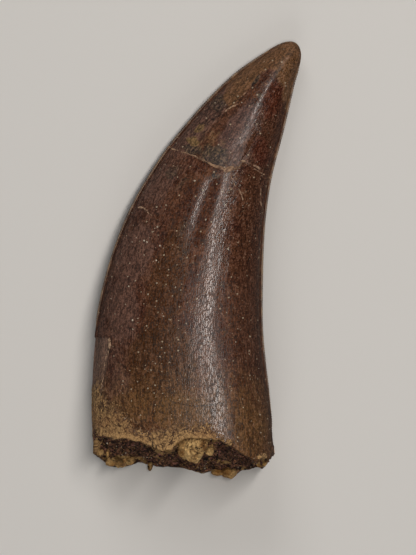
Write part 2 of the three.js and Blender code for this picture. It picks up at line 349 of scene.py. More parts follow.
film = np.where(np.sin(angle) > 0, 1.1 * np.maximum(film_cheek, film_lip), film_tongue)

# The strip that flaked off the front edge, up to a small step in the edge.
flake_edge = np.interp(station, [0, 1.1, 1.7, 2], [-0.93, -0.9, -0.84, -0.82])
strip = smooth(0.015, -0.015, across - flake_edge) * smooth(2.0, 1.96, station)
strip = strip * smooth(-0.6, -0.2, np.sin(angle))
# A shallow furrow down the face in front of the keel, and a fine fold between it and the front edge.
furrow = 1.1 * np.exp(-(((across - 0.035) / 0.12) ** 2))
furrow = furrow * smooth(2.8, 4, station) * smooth(4.9, 4.6, station)
fold = np.exp(-(((across + 0.75 - 0.087 * station) / 0.06) ** 2))
fold = fold * smooth(3.3, 4, station) * smooth(4.9, 4.5, station)

# Fine dark cracks, each a broken line seen from above.
CRACKS = [
    [(-4.5, -29.8), (-1.5, -30.4), (0, -30.5), (3.9, -30.2)],
    [(-7.2, -31.8), (-6.6, -32.1)],
    [(-4.0, -25.8), (-3.6, -26.3)],
    [(-3.2, -35.6), (-2.4, -35.3), (-1.6, -35.4)],
    [(-3.7, -36.8), (-2.8, -36.4), (-1.7, -36.5)],
    [(4.8, -23.1), (4.4, -27.9), (4.0, -31.5), (3.8, -33.5)],
    [(-9.2, -37.2), (-9.0, -39.3)],
    [(-8.4, -38.7), (-8.3, -39.7)],
]
wander = 0.25 * noise(crown, 1.5, 16)
crack = np.zeros(station.shape)
for line in CRACKS:
    away = away_from_line(crown[..., 0] + wander, crown[..., 1], line)
    crack = np.maximum(crack, smooth(0.17, 0.03, away) * cheek)

# The skin's own relief: swells, lengthwise wrinkles, the film's lumps, pits, cracks, the strip and the fold.
skin = (
    0.05 * layered(crown, 14, 21, 2)
    + 0.02 * noise(unrolled * (1, 0.12, 1), 1.5, 24)
    + 0.01 * noise(unrolled * (1, 0.2, 1), 0.7, 25)
    + smooth(0.3, 1, film) * (0.09 + 0.14 * layered(crown, 1.4, 26, 4))
    - 0.4 * pitted(crown, count=160, sizes=(0.2, 0.4), seed=29)
    - 0.03 * crack
    - 0.3 * strip
    + 0.055 * fold * cheek
)
crown = crown + outward(crown) * (skin * smooth(0, 0.4, above_rim + 0.1))[..., None]
crown[..., 2] = np.maximum(0, crown[..., 2] - 0.4 * furrow * cheek)
lower_crown = loft(
    "enamel_crown",
    folded(crown, [(0.045, 0.15), (0.16, 4.0)], [(0.06, -0.1), (0.4, -1.0)]),
    {
        "unrolled": held(unrolled),
        "sandstone": held(film),
        "flaked": held(strip),
        "crack": held(crack),
        "rim": held(smooth(1.3, 0.3, above_rim + 0.5 * noise(crown, 2.5, 17)) * film * cheek),
        # Purplish grey that grows towards the front edge is a painted sheen, and the spots are plum patches.
        "plum_and_sheen": held(np.maximum(
            0.6 * smooth(0.1, -0.8, across + 0.2 * noise(crown, 9, 31)),
            spots(x, y, [
                (1, (-13, 1), (4, 8), -20), (1, (-15.5, -10.5), (3.5, 8)),
                (0.9, (-7.6, 16), (3, 6), -30), (0.8, (-16, -27), (3, 6)),
            ]),
        ) * cheek),
        "amber": held(cheek * spots(x, y, [
            (0.75, (-6, -5), (4.5, 15), -12), (1.2, (-7, -22), (8, 10)),
        ])),
        "russet": held(smooth(0.45, 0.75, across + 0.15 * noise(crown, 9, 32)) * cheek),
        "smoke": held(cheek * spots(x, y, [
            (1, (4.4, 17.8), (1.2, 0.8)), (0.7, (-5, 18.4), (1, 2), -35),
            (0.6, (-2.6, 16), (0.8, 2.5), -30), (0.6, (-2.7, 6.5), (0.8, 2.2), -30),
        ])),
        "dusty": held(film_stain * cheek),
        "dull": held(0.2 * smooth(3, 1.4, station)),
        "sleek": held(behind_keel(station, across) * smooth(2.4, 3.4, station) * cheek),
    },
)
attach(lower_crown, "root")
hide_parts("tooth")


def linear(code):
    """An sRGB hex colour as linear light, by the sRGB curve."""
    value = np.array([int(code[i : i + 2], 16) for i in (1, 3, 5)]) / 255
    return (*np.where(value <= 0.04045, value / 12.92, ((value + 0.055) / 1.055) ** 2.4), 1)


def add(tree, kind, inputs={}, **settings):
    """Adds one shader node and returns its outputs: settings are its own, and inputs are values or outputs
    to link, by socket. A colour mix takes its share at 0 and its colours at 6 and 7, and gives output 2."""
    made = tree.nodes.new("ShaderNode" + kind)
    for name, value in settings.items():
        setattr(made, name, value)
    for socket, value in inputs.items():
        if isinstance(value, bpy.types.NodeSocket):
            tree.links.new(value, made.inputs[socket])
        else:
            made.inputs[socket].default_value = value
    return made.outputs


def new_material(name):
    """A new material and its node tree, emptied."""
    material = bpy.data.materials.new(name)
    material.use_nodes = True
    material.node_tree.nodes.clear()
    return material, material.node_tree


# Fossil enamel: apatite stained dark brown by iron, rubbed and sealed to a soft gloss, glossiest behind the
# keel. The eye sees lengthwise wrinkles and crackle, clouds of plum, amber and russet, tan specks, nets of
# dark and pale lines near the mended break, and sandstone film. The plum is partly a painted sheen over the
# front flank, and the brightest flecks are painted glints. Patterns lie on the unrolled tooth, so their
# scales
# are cells a millimetre: clouds of 3.6 mm, blotches of 1.3, wrinkles 0.45 wide, grit of 0.38, crackle 0.43
# wide, grains of 0.28 and dots 1.7 apart. The crackle and the grit are drawn this coarse to show.
enamel, tree = new_material("fossil_enamel_sealed")
place = add(tree, "Attribute", attribute_name="unrolled")["Vector"]
drawn_out = add(tree, "Mapping", {"Vector": place, "Scale": (1, 0.14, 1)})["Vector"]
clouds, blotches, wrinkles, grit = (
    add(tree, "TexNoise", {"Vector": at, "Scale": scale, "Detail": detail, "Roughness": rough})["Fac"]
    for at, scale, detail, rough in (
        (place, 0.28, 5, 0.6), (place, 0.75, 5, 0.75), (drawn_out, 2.2, 4, 0.7), (place, 2.6, 3, 0.75),
    )
)
threads = add(tree, "Mapping", {"Vector": place, "Scale": (1, 0.29, 1)})["Vector"]
crackle = add(
    tree, "TexVoronoi", {"Vector": threads, "Scale": 2.3}, feature="DISTANCE_TO_EDGE"
)["Distance"]
scales = add(tree, "TexVoronoi", {"Vector": threads, "Scale": 2.3})["Color"]
fine_cells = add(tree, "TexVoronoi", {"Vector": place, "Scale": 3.6})
scale_tone = add(tree, "SeparateColor", {"Color": scales})["Red"]
grain_tone = add(tree, "SeparateColor", {"Color": fine_cells["Color"]})["Green"]
speckle = add(tree, "TexVoronoi", {"Vector": place, "Scale": 0.6}, voronoi_dimensions="2D")

# The marks kept at the skin's points. One that a fragment doesn't have reads as 0 there.
marks = {
    mark: add(tree, "Attribute", attribute_name=mark)["Fac"]
    for mark in (
        "plum_and_sheen", "amber", "russet", "flaked", "cap", "rose", "ruby", "smoke", "ochre", "dusty", "netted",
        "sandstone", "rim", "crack", "dull", "sleek",
    )
}

# The stained skin. Each stain is a mark, its colour and its strength, with its edge broken up by patterns.
cloudy = add(tree, "MapRange", {"Value": clouds, "From Min": 0.38, "From Max": 0.62})["Result"]
colour = add(tree, "Mix", {0: cloudy, 6: linear("#4c2512"), 7: linear("#633b23")}, data_type="RGBA")[2]
STAINS = [
    # The plum tint is partly a plum stain and partly a painted sheen over the front flank.
    ("plum_and_sheen", "#6d4e42", 0.8), ("amber", "#502e0d", 0.9), ("russet", "#502c16", 0.7),
    ("flaked", "#846656", 0.9), ("cap", "#7a5432", 0.9), ("rose", "#61463f", 0.8),
    ("ruby", "#54230c", 0.9), ("smoke", "#362d2a", 0.85), ("ochre", "#8f7146", 0.9),
    ("dusty", "#785428", 0.75),
]
ragged = add(tree, "Mix", {0: 0.25, 2: blotches, 3: grit})[0]
ragged = add(tree, "Mix", {0: 0.15, 2: ragged, 3: scale_tone})[0]
ragged = add(tree, "Mix", {0: 0.2, 2: ragged, 3: wrinkles})[0]
for mark, tint, strength in STAINS:
    patchy = add(tree, "Math", {0: ragged, 1: 1.6, 2: marks[mark]}, operation="MULTIPLY_ADD")["Value"]
    amount = add(
        tree, "MapRange", {"Value": patchy, "From Min": 1.15, "From Max": 1.65, "To Max": strength}
    )["Result"]
    colour = add(tree, "Mix", {0: amount, 6: colour, 7: linear(tint)}, data_type="RGBA")[2]

# Nets of wandering lines: dark ones on the spalled skin and pale ones in the smoky patches, as the mark that
# holds them, the meshes a millimetre, strength and colour.
warp = add(tree, "TexNoise", {"Vector": place, "Scale": 1.2, "Detail": 3})["Color"]
bent = add(tree, "VectorMath", {0: place, 1: warp}, operation="ADD")["Vector"]
for mark, meshes, strength, tint in (("netted", 0.7, 0.75, "#2a1f1a"), ("smoke", 1.1, 0.7, "#7c6549")):
    net = add(
        tree, "TexVoronoi", {"Vector": bent, "Scale": meshes}, feature="DISTANCE_TO_EDGE"
    )["Distance"]
    net = add(
        tree, "MapRange", {"Value": net, "From Min": 0.1, "From Max": 0.02, "To Max": strength}
    )["Result"]
    net = add(tree, "Math", {0: net, 1: marks[mark]}, operation="MULTIPLY")["Value"]
    colour = add(tree, "Mix", {0: net, 6: colour, 7: linear(tint)}, data_type="RGBA")[2]

# Light and dark: wrinkles, grit, crackle joints, the scales between them and grains multiply each other. The
# brightest places are capped and turned pinkish grey as a painted glint, and a few cells hold a pale dot.
shade = add(
    tree, "MapRange",
    {"Value": wrinkles, "From Min": 0.3, "From Max": 0.7, "To Min": 0.5, "To Max": 1.5},
)["Result"]
mottle = add(
    tree, "MapRange",
    {"Value": grit, "From Min": 0.3, "From Max": 0.7, "To Min": 0.55, "To Max": 1.45},
)["Result"]
joints = add(tree, "MapRange", {"Value": crackle, "From Max": 0.16})["Result"]
joint_shade = add(tree, "MapRange", {"Value": joints, "To Min": 0.5, "To Max": 1.0})["Result"]
scale_shade = add(tree, "MapRange", {"Value": scale_tone, "To Min": 0.75, "To Max": 1.25})["Result"]
grain_shade = add(tree, "MapRange", {"Value": grain_tone, "To Min": 0.5, "To Max": 1.5})["Result"]
for layer in (mottle, joint_shade, scale_shade, grain_shade):
    shade = add(tree, "Math", {0: shade, 1: layer}, operation="MULTIPLY")["Value"]
held_back = add(tree, "Math", {0: shade, 1: 1.25}, operation="MINIMUM")["Value"]
colour = add(tree, "VectorMath", {0: colour, "Scale": held_back}, operation="SCALE")["Vector"]
# Painted glint: where the shade is brightest the colour goes to pinkish grey, standing in for glints of the
# gloss.
painted_glint = add(tree, "MapRange", {"Value": shade, "From Min": 0.8, "From Max": 2.6, "To Max": 0.65})["Result"]
colour = add(tree, "Mix", {0: painted_glint, 6: colour, 7: linear("#8c6c5d")}, data_type="RGBA")[2]
chosen = add(tree, "SeparateColor", {"Color": speckle["Color"]})["Red"]
dot_size = add(
    tree, "MapRange", {"Value": chosen, "From Min": 0.62, "From Max": 1, "To Max": 0.11}
)["Result"]
dots = add(tree, "Math", {0: speckle["Distance"], 1: dot_size}, operation="LESS_THAN")["Value"]
colour = add(tree, "Mix", {0: dots, 6: colour, 7: linear("#a8967e")}, data_type="RGBA")[2]

# The sandstone film, grainy at its thin edges, paler where worn at the rim and rusty in places, then cracks.
sand_grain = marks["sandstone"]
for pattern, weight in ((blotches, 1.8), (grit, 2.4)):
    inputs = {0: pattern, 1: weight, 2: sand_grain}
    sand_grain = add(tree, "Math", inputs, operation="MULTIPLY_ADD")["Value"]
sand_amount = add(tree, "MapRange", {"Value": sand_grain, "From Min": 2.5, "From Max": 3.0})["Result"]
sand_tone = add(tree, "Math", {0: grit, 1: 1.5, 2: grain_tone}, operation="MULTIPLY_ADD")["Value"]
sand_tone = add(tree, "Math", {0: blotches, 1: 2.4, 2: sand_tone}, operation="MULTIPLY_ADD")["Value"]
sand_tone = add(tree, "MapRange", {"Value": sand_tone, "From Min": 2.0, "From Max": 3.05})["Result"]
sand_tone = add(tree, "Math", {0: marks["rim"], 1: 0.28, 2: sand_tone}, operation="MULTIPLY_ADD")["Value"]
sand_colour = add(
    tree, "Mix", {0: sand_tone, 6: linear("#3f2610"), 7: linear("#c39a66")}, data_type="RGBA"
)[2]
iron = add(tree, "MapRange", {"Value": clouds, "From Min": 0.48, "From Max": 0.62, "To Max": 0.3})["Result"]
sand_colour = add(tree, "Mix", {0: iron, 6: sand_colour, 7: linear("#80522f")}, data_type="RGBA")[2]
colour = add(tree, "Mix", {0: sand_amount, 6: colour, 7: sand_colour}, data_type="RGBA")[2]
colour = add(tree, "Mix", {0: marks["crack"], 6: colour, 7: linear("#1e120b")}, data_type="RGBA")[2]

# Gloss and fine relief: the joints are rougher than the scales, but not behind the keel.
polish = add(
    tree, "MapRange",
    {"Value": blotches, "From Min": 0.3, "From Max": 0.7, "To Min": 0.17, "To Max": 0.28},
)["Result"]
dull = add(tree, "Math", {0: marks["dull"], 1: marks["cap"]}, operation="MAXIMUM")["Value"]
polish = add(tree, "Mix", {0: dull, 2: polish, 3: 0.5})[0]
joint_roughness = add(tree, "MapRange", {"Value": marks["sleek"], "To Min": 0.64, "To Max": 0.2})["Result"]
roughness = add(tree, "Mix", {0: joints, 2: joint_roughness, 3: polish})[0]
roughness = add(tree, "Mix", {0: sand_amount, 2: roughness, 3: 0.88})[0]
crackled = add(tree, "Math", {0: crackle, 1: 0.25}, operation="MINIMUM")["Value"]
sandy_grain = add(tree, "Math", {0: fine_cells["Distance"], 1: sand_amount}, operation="MULTIPLY")["Value"]
under = {}
for height, depth in ((wrinkles, 0.015), (crackled, 0.04), (grit, 0.015), (sandy_grain, -0.12)):
    normal = add(tree, "Bump", {"Height": height, "Distance": depth * MM, **under})["Normal"]
    under = {"Normal": normal}
surface = add(
    tree, "BsdfPrincipled",
    {"Base Color": colour, "Roughness": roughness, "Normal": normal, "IOR": 1.6},
)["BSDF"]
add(tree, "OutputMaterial", {"Surface": surface})
lower_crown.data.materials.append(enamel)

# ------------------------------------------------------------------ tip fragment
# The upper fragment of the same crown, glued back on: it sits about half a millimetre lower than the
# fragment below it on the cheek side. In front of a slanting line its skin has spalled off down to tan
# dentine, which also caps the tip.

TIP_ROWS = 236
angle = round_angles(cheek=200, tongue=120)
foot = line_station(angle) - 0.015
# Rows lie closer together towards the tip.
share = np.linspace(0, 1, TIP_ROWS)[:, None]
share = 0.5 * share + 0.5 * np.sin(share * np.pi / 2)
station = foot + (TIP - 0.003 - foot) * share
tip, unrolled = crown_point(station, angle)
across = across_at(angle) + 0 * station
cheek = smooth(0, 0.3, np.sin(angle)) + 0 * station
past_break = station - line_station(angle)
x = tip[..., 0] + 0.5 * layered(tip, 2.5, 41, 3)
y = tip[..., 1] + 0.5 * layered(tip, 2.5, 42, 3)

# The outline of the bare tan cap, the spalled strip below it, and the step down past the mended break.
CAP = [
    (6.1, 37), (5.7, 35.3), (5.5, 33.6), (6.7, 31.7), (9.2, 33.2), (9.9, 34.4), (11.8, 36.8), (13.7, 39.1),
    (15.5, 40.3), (16.8, 39.5), (17.4, 37.4), (17.9, 34.7), (18.9, 31.9), (20, 31.9), (24, 40), (24, 48),
    (16, 49), (7, 43),
]
cap_cheek = smooth(-0.9, 0.9, inside_outline(x, y, CAP))
cap_tongue = smooth(7.6, 8.3, station + 0.4 * layered(tip, 5, 43, 2))
cap = np.where(np.sin(angle) > 0, cap_cheek, cap_tongue)
spall_edge = np.interp(station, [5.3, 5.96, 6.5, 7.4, 7.9, 8.4], [-0.85, -0.53, -0.3, -0.31, -0.19, 1])
bare = smooth(0.1, 0.5, past_break) * smooth(TIP, TIP - 1.5, station)
spall = bare * smooth(0.04, -0.04, across - spall_edge + 0.07 * layered(tip, 1.8, 44, 4)) * cheek
spall = spall * smooth(8, 7.3, station)
snapped = smooth(0.8, 0.2, past_break) * cheek

# Relief as below the break, with a lumpy cap.
skin = (
    0.05 * layered(tip, 7, 45, 3)
    + 0.02 * noise(unrolled * (1, 0.12, 1), 1.3, 46)
    + 0.012 * noise(unrolled * (1, 0.2, 1), 0.6, 47)
    + cap * 0.06 * layered(tip, 1.8, 48, 3)
    - 0.4 * pitted(tip, count=60, sizes=(0.2, 0.4), seed=49)
)
tip = tip + outward(tip) * (skin * smooth(0, 0.05, 1 - share))[..., None]
tip[..., 2] = np.maximum(0, tip[..., 2] - 0.5 * snapped - 0.3 * spall)
tip_fragment = loft(
    "tip_fragment",
    folded(tip, [(0.1, 0.1), (0.4, 1.0)], [(0.5, 0.0), (0.9, 0.0)]),
    {
        "unrolled": held(unrolled),
        "cap": held(cap * (0.75 + 0.25 * smooth(-1, -0.6, across))),
        # Purplish grey over the front of the tip is a painted sheen.
        "plum_and_sheen": held(smooth(-0.3, -0.7, across) * cheek),
        "rose": held(spot(x, y, (8.5, 27.5), (2.8, 7.5), -35) * cheek),
        "amber": held(spot(x, y, (18.8, 37.8), (2, 6)) * cheek),
        "russet": held(smooth(0.25, 0.5, across) * cheek),
        "ruby": held(cheek * spots(x, y, [
            (0.9, (16, 33.6), (2.2, 4.8), -12), (0.85, (13.5, 22.8), (2.2, 3.8)),
        ])),
        "dull": held(np.maximum(0.4 * smooth(6.9, 5.8, station), spots(x, y, [
            (1, (3.6, 21.5), (3.2, 3)), (0.9, (9, 21), (4.5, 3.4)), (1, (17.4, 39.0), (1.6, 2.4), -25),
        ]))),
        "sleek": held(behind_keel(station, across) * cheek),
        "netted": held(spall * (1 - cap)),
        "ochre": held(cheek * spots(x, y, [
            (0.9, (0.6, 27.6), (1.5, 0.9), 30), (0.9, (-0.6, 24.9), (1.5, 0.9), -30),
            (0.4, (3, 24.5), (4.5, 3.5)),
        ])),
        "smoke": held(cheek * spots(x, y, [
            (1, (3.6, 21.5), (3.2, 3)), (1, (-0.7, 23.1), (2, 1.3)), (0.8, (4.5, 33.0), (1.6, 2)),
            (1, (13.3, 34.8), (0.7, 0.6)), (1, (12.7, 37.8), (0.5, 1.6), -40),
        ])),
    },
)
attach(tip_fragment, "root")
tip_fragment.data.materials.append(enamel)

# ------------------------------------------------------------------ break cement
# A thin bead of tan glue and sand along the mended break, all round the crown. It sits in the step between
# the two fragments, thick and thin by turns, and is thickest on the keel.


def bead(path, sideways, up, width, height, sides):
    """A strip along a path: each row is an oval with these half sizes along unit sideways and unit up."""
    turn = (np.arange(sides) / sides * 2 * np.pi)[:, None]
    across = np.cos(turn) * sideways[:, None] * width[:, None, None]
    return path[:, None] + across + np.sin(turn) * up[:, None] * height[:, None, None]


def unit(vectors):
    """Scales vectors to length 1."""
    return vectors / np.linalg.norm(vectors, axis=-1, keepdims=True)


def two_toned(name, cells, pattern, span, low, high, finish):
    """A material that goes from a low to a high colour over a span of the values of noise with so many cells
    a millimetre. pattern has the noise's other inputs, and finish the surface's."""
    material, tree = new_material(name)
    place = add(tree, "TexCoord")["Object"]
    cloud = add(tree, "TexNoise", {"Vector": place, "Scale": cells / MM, **pattern})["Fac"]
    share = add(tree, "MapRange", {"Value": cloud, "From Min": span[0], "From Max": span[1]})
    colours = {0: share["Result"], 6: linear(low), 7: linear(high)}
    colour = add(tree, "Mix", colours, data_type="RGBA")[2]
    surface = add(tree, "BsdfPrincipled", {"Base Color": colour, **finish})["BSDF"]
    add(tree, "OutputMaterial", {"Surface": surface})
    return material


BEAD_ROWS = 1200
angle = np.linspace(-0.05, 2 * np.pi + 0.02, BEAD_ROWS)
line = line_station(angle)
path = crown_point(line + 0.02, angle)[0]
lengthwise = unit(crown_point(line + 0.1, angle)[0] - path)
up = unit(np.cross(np.gradient(path, axis=0), lengthwise))
up = up * np.sign((up * (path - path.mean(0))).sum())
path = path - 0.4 * up * smooth(0, 0.3, np.sin(angle))[:, None]
path = path + 0.25 * lengthwise * layered(path, 1.6, 51, 3)[:, None]
swell = 0.3 + 1.1 * smooth(-0.5, 0.6, layered(path, 1.4, 52, 3))
swell *= 1 + 1.1 * np.exp(-(((across_at(angle) - 0.28) / 0.22) ** 2)) * (np.sin(angle) > 0)
cement = loft("break_cement", bead(path, lengthwise, up, 0.26 * swell, 0.19 * swell, sides=10))
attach(cement, "root")

# Old glue with fine dirt rubbed into it: the eye sees a broken line of dull tan and brown.
cement.data.materials.append(two_toned(
    "mending_glue_dirty", cells=0.7, pattern={"Detail": 3, "Roughness": 0.7}, span=(0.38, 0.62),
    low="#5f4635", high="#a58468", finish={"Roughness": 0.7},
))

# ------------------------------------------------------------------ sediment veins
# Fine tan sand packed into scratches and chipped edges of the enamel: along the flaked strip, in a chip of
# the front edge, along and beside the mended break, and under the edge of the spalled skin.

VEIN_ROWS = 90
# Each vein's half width and its line, seen from above.
VEINS = [
    (0.45, [(-18.3, -16.2), (-18.0, -18.5), (-18.9, -20.4), (-19.2, -21.2)]),
    (0.16, [(-19.1, -21), (-19.3, -22.9), (-19.7, -26.3), (-20.2, -28.8)]),
    (0.21, [(-12.4, 11.0), (-11.2, 11.0), (-10.3, 10.3), (-9.8, 9.4)]),
    (0.2, [(13.6, 16.2), (13.6, 13.2), (13.4, 12.4), (14.1, 10.7)]),
    (0.2, [(5.7, 31.0), (6.9, 31.8), (8.2, 32.4), (9.2, 33.1)]),
    (0.15, [(9.3, 34.2), (10.0, 34.7), (10.7, 35.4)]),
    (0.1, [(7.2, 18.0), (7.6, 16.8), (8.4, 15.2)]),
    (0.1, [(8.9, 15.1), (9.6, 13.4), (9.9, 12.2)]),
    (0.08, [(-10.9, 10.9), (-10.1, 10.0), (-9.1, 9.2)]),
    (0.36, [(4.6, 19.4), (6.3, 18.7), (8, 18.8)]),
    (0.26, [(9.3, 20.9), (10.6, 20.5), (12.2, 19.8), (13.9, 18.8)]),
]


def settled(flat, reach):
    """Finds the cheek skin over points seen from above: the mean of the skin's points and normals near each,
    weighted by exp(-(distance / reach)^2)."""
    offset = np.hypot(upper_skin[:, 0] - flat[:, :1], upper_skin[:, 1] - flat[:, 1:])
    weight = np.exp(-((offset / reach) ** 2))
    weight /= weight.sum(1, keepdims=True)
    return np.concatenate([flat, weight @ upper_skin[:, 2:]], 1), unit(weight @ upper_normal)


def vein(width, line, seed):
    """A low bead of sand that wanders along a broken line on the skin, thick and thin by turns."""
    line = np.array(line)
    run = np.concatenate([[0], np.cumsum(np.linalg.norm(np.diff(line, axis=0), axis=1))])
    at = np.linspace(0, run[-1], VEIN_ROWS)
    flat = np.stack([np.interp(at, run, line[:, 0]), np.interp(at, run, line[:, 1])], 1)
    flat += 0.16 * np.stack([noise(at[:, None] * (1, 1, 1), 0.9, seed + i) for i in (0, 20)], 1)
    path, up = settled(flat, 0.25)
    sideways = unit(np.cross(np.gradient(path, axis=0), up))
    taper = smooth(0, 0.15, at / run[-1]) * smooth(1, 0.85, at / run[-1])
    swell = 0.15 + 1.1 * smooth(-0.5, 0.6, layered(path, 1.1, seed, 2))
    width = width * swell * taper
    return bead(path, sideways, up, width + 0.01, 0.55 * width + 0.01, sides=8)


# The points and normals of both fragments' skins, without their end rows, and which of them face up.
skins = np.concatenate([crown[6:-2].reshape(-1, 3), tip[4:-20].reshape(-1, 3)])
facing = np.concatenate([outward(crown)[6:-2].reshape(-1, 3), outward(tip)[4:-20].reshape(-1, 3)])
upper = np.flatnonzero(facing[:, 2] > 0.3)
upper_skin, upper_normal = skins[upper], facing[upper]
veins = loft("sediment_veins", np.stack([vein(*row, 140 + i) for i, row in enumerate(VEINS)]))
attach(veins, "root")

# Packed sediment: silt and fine sand, rubbed level. The eye sees pinkish tan with brown dirt in it.
veins.data.materials.append(two_toned(
    "sediment_packed_dull", cells=1.5, pattern={"Detail": 3, "Roughness": 0.7}, span=(0.38, 0.62),
    low="#64483a", high="#b49478", finish={"Roughness": 0.8},
))

# ------------------------------------------------------------------ front cutting edge
# The carina along the convex front edge of the crown: a fine ridge cut into denticles, two to a millimetre.
# It is part of the enamel, and is lost beside the flaked strip and at the tip.

DENTICLE = 0.5
CARINA_ROWS = 1440


def serrated(edge, first, last, seed):
    """A denticled ridge between two stations of the edge at this angle round the crown: an oval section
    whose reach swells by a cosine once a denticle, worn down in places."""
    station = np.linspace(first, last, CARINA_ROWS)
    path = crown_point(station, edge + 0 * station)[0]
    outer = unit(path - crown_point(station, np.pi - edge + 0 * station)[0])
    up = np.zeros(path.shape) + (0, 0, 1)
    run = np.concatenate([[0], np.cumsum(np.linalg.norm(np.diff(path, axis=0), axis=1))])
    worn = smooth(-0.6, 0.5, noise(path, 6, seed) + 0.6)
    fade = smooth(first, first + 0.3, station) * smooth(last, last - 0.5, station)
    teeth = (0.5 + 0.5 * np.cos(run / DENTICLE * 2 * np.pi)) * worn
    path = path - outer * 0.1 + up * 0.04
    return bead(path, outer, up, (0.16 + 0.16 * teeth) * fade + 0.02, 0.2 * fade + 0.02, sides=10)


front_carina = loft("front_carina", serrated(np.pi, 2.02, 8.3, 61))
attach(front_carina, "root")

# Enamel of the edges: paler than the faces as a painted rim light, with a soft gloss.
edge_enamel = two_toned(
    "fossil_enamel_edge_rim_lit", cells=0.5, pattern={"Detail": 3}, span=(0.4, 0.65),
    low="#4e3726", high="#8c6f52", finish={"Roughness": 0.45, "IOR": 1.6},
)
front_carina.data.materials.append(edge_enamel)

# ------------------------------------------------------------------ back cutting edge
# The carina along the concave back edge, like the front one, but kept down to near the base.

back_carina = loft("back_carina", serrated(0.0, 0.5, 8.6, 62))
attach(back_carina, "root")
back_carina.data.materials.append(edge_enamel)

# ------------------------------------------------------------------ broken base
# The fracture across the root end: spongy dentine worn in behind the hard rim, with ledges, holes and sand
# in its hollows. It closes the crown from the cheek rim down to the tongue rim.

# Columns across the fracture, and the angles at which each meets the cheek rim and the tongue rim. The cheek
# angle's cosine c solves c + RIDGE_SHIFT (1 - c^2) = place, as in across_at.
FACE_COLUMNS = 300
FACE_ROWS = 170
place_across = np.linspace(-0.985, 0.985, FACE_COLUMNS)
cosine = (1 - np.sqrt(1 - 4 * RIDGE_SHIFT * (place_across - RIDGE_SHIFT))) / (2 * RIDGE_SHIFT)
cheek_angle = np.arccos(np.clip(cosine, -1, 1))
tongue_angle = -np.arccos(place_across)
cheek_rim = crown_point(rim_station(cheek_angle), cheek_angle)[0]
tongue_rim = crown_point(rim_station(tongue_angle), tongue_angle)[0]
tongue_rim[:, 2] = np.maximum(0, tongue_rim[:, 2])
# The face runs straight down from rim to rim, then its spongy middle is sunk, roughened and holed.
down = np.linspace(0.012, 0.988, FACE_ROWS)[None, :, None]
front_face = cheek_rim[:, None] * (1 - down) + tongue_rim[:, None] * down
from_rim = np.minimum(down, 1 - down)[..., 0] * np.linalg.norm(cheek_rim - tongue_rim, axis=1)[:, None]
inside = smooth(0.2, 2.2, from_rim) * smooth(0, 0.06, 1 - np.abs(place_across))[:, None]
rough = (
    0.5 * layered(front_face, 4.5, 71, 2)
    + 0.5 * np.abs(layered(front_face, 1.9, 73, 2))
    + 0.45 * layered(front_face, 0.8, 75, 3)
)
holes = pitted(front_face, count=260, sizes=(0.3, 0.9), seed=78)
face = front_face.copy()
face[..., 1] += inside * (0.7 - rough + 2.2 * holes)
face[..., 1] += 0.1 * layered(front_face, 1.2, 79, 3) * smooth(0, 0.3, from_rim)
# A plain back inside the crown closes the patch. Each row of it goes down the face and up the back.
back_face = face[:, ::-20] + (0, 2.2, 0)
patch = np.concatenate([face, back_face], 1)
x, y, z = np.moveaxis(patch, -1, 0)
# Sand lies in the front corner, under the cheek rim, in the back corner and in scattered hollows.
sand_here = np.maximum.reduce([
    spot(x, y, (-15.5, -42.6), (5.5, 1.6)) * smooth(14, 8, z),
    smooth(1.4, 0.2, np.abs(y - front_face[:, :1, 1])) * smooth(-11, -9, x) * smooth(5.5, 4, x),
    spot(x, y, (14.2, -41.5), (1.6, 2.2)),
    smooth(0.35, 0.8, layered(patch, 3, 80, 3)) * 0.8,
])
broken_base = loft("broken_base", patch, {"sandstone": sand_here})
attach(broken_base, "root")

# Fossil dentine: matt and crumbly. The eye sees crumbs 0.6 mm wide, from near black to purplish tan, under
# dust of 0.26 mm, in clouds of 3.3 mm, with grains of sand between them.
dentine, tree = new_material("fossil_dentine_fractured")
place = add(tree, "TexCoord")["Object"]
warp = add(tree, "TexNoise", {"Vector": place, "Scale": 1.2 / MM, "Detail": 2})["Color"]
shift = (0.6 * MM, 0.6 * MM, 0.6 * MM)
bent = add(tree, "VectorMath", {0: warp, 1: shift, 2: place}, operation="MULTIPLY_ADD")["Vector"]
drawn_out = add(tree, "Mapping", {"Vector": bent, "Scale": (1, 1, 0.55)})["Vector"]
crumb_cells = add(tree, "TexVoronoi", {"Vector": drawn_out, "Scale": 1.7 / MM})
tone = add(tree, "SeparateColor", {"Color": crumb_cells["Color"]})
dust = add(tree, "TexVoronoi", {"Vector": drawn_out, "Scale": 3.9 / MM})["Color"]
dust_tone = add(tree, "SeparateColor", {"Color": dust})["Red"]
clouds = add(tree, "TexNoise", {"Vector": place, "Scale": 0.3 / MM, "Detail": 4, "Roughness": 0.6})["Fac"]
cloudy = add(tree, "MapRange", {"Value": clouds, "From Min": 0.36, "From Max": 0.62})["Result"]
colour = add(tree, "Mix", {0: cloudy, 6: linear("#3d2416"), 7: linear("#63432f")}, data_type="RGBA")[2]
purple = add(
    tree, "MapRange", {"Value": tone["Red"], "From Min": 0.5, "From Max": 1, "To Max": 0.8}
)["Result"]
colour = add(tree, "Mix", {0: purple, 6: colour, 7: linear("#64413a")}, data_type="RGBA")[2]
light = add(tree, "MapRange", {"Value": tone["Green"], "To Min": 0.05, "To Max": 2.0})["Result"]
fine = add(tree, "MapRange", {"Value": dust_tone, "To Min": 0.1, "To Max": 2.1})["Result"]
light = add(tree, "Math", {0: light, 1: fine}, operation="MULTIPLY")["Value"]
colour = add(tree, "VectorMath", {0: colour, "Scale": light}, operation="SCALE")["Vector"]
sandy = add(tree, "Attribute", attribute_name="sandstone")["Fac"]
grain = add(tree, "Math", {0: tone["Blue"], 1: 0.6, 2: sandy}, operation="MULTIPLY_ADD")["Value"]
